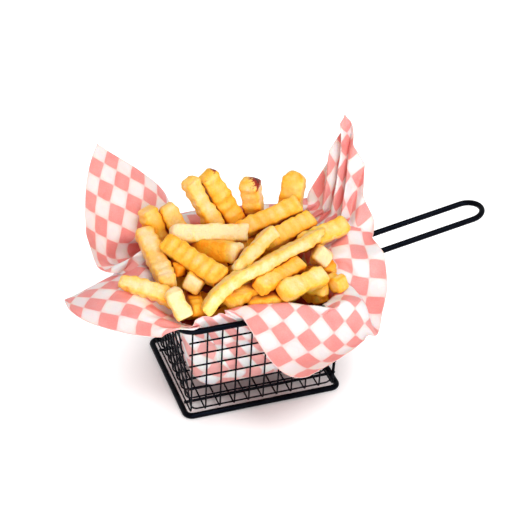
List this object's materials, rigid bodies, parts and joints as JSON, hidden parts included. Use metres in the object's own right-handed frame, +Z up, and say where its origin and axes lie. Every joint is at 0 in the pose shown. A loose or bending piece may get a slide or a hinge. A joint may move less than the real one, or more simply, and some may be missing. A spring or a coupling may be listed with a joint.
{
  "type": "french fries portion",
  "caption": "Crinkle-cut french fries heaped in a black wire serving basket with a looped handle, on a sheet of red and white checked paper.",
  "frame": {"origin": "under the middle of the whole object's box, on the surface that the basket stands on", "axes": "+X along the long side of the basket towards the handle, -Y the front of the basket, +Z up"},
  "size_m": [0.2988, 0.1892, 0.1642],
  "materials": {
    "coated_rod": "steel rod with a black powder coat, satin",
    "coated_net": "thin steel wire with a black powder coat, satin",
    "checked_paper": "thin greaseproof paper printed with red and white checks, creased",
    "fries": "fried potato, pale yellow to golden, slightly oily, one burnt tip"
  },
  "bodies": {
    "root": {"foot_frame": "coated_rod", "top_rim": "coated_rod", "handle_loop": "coated_rod", "floor_bar_front": "coated_rod", "floor_bar_back": "coated_rod", "mesh_floor": "coated_net", "mesh_front": "coated_net", "mesh_back": "coated_net", "mesh_handle_side": "coated_net", "mesh_far_side": "coated_net", "paper_liner": "checked_paper", "fries_heap": "fries"}
  },
  "joints": []
}
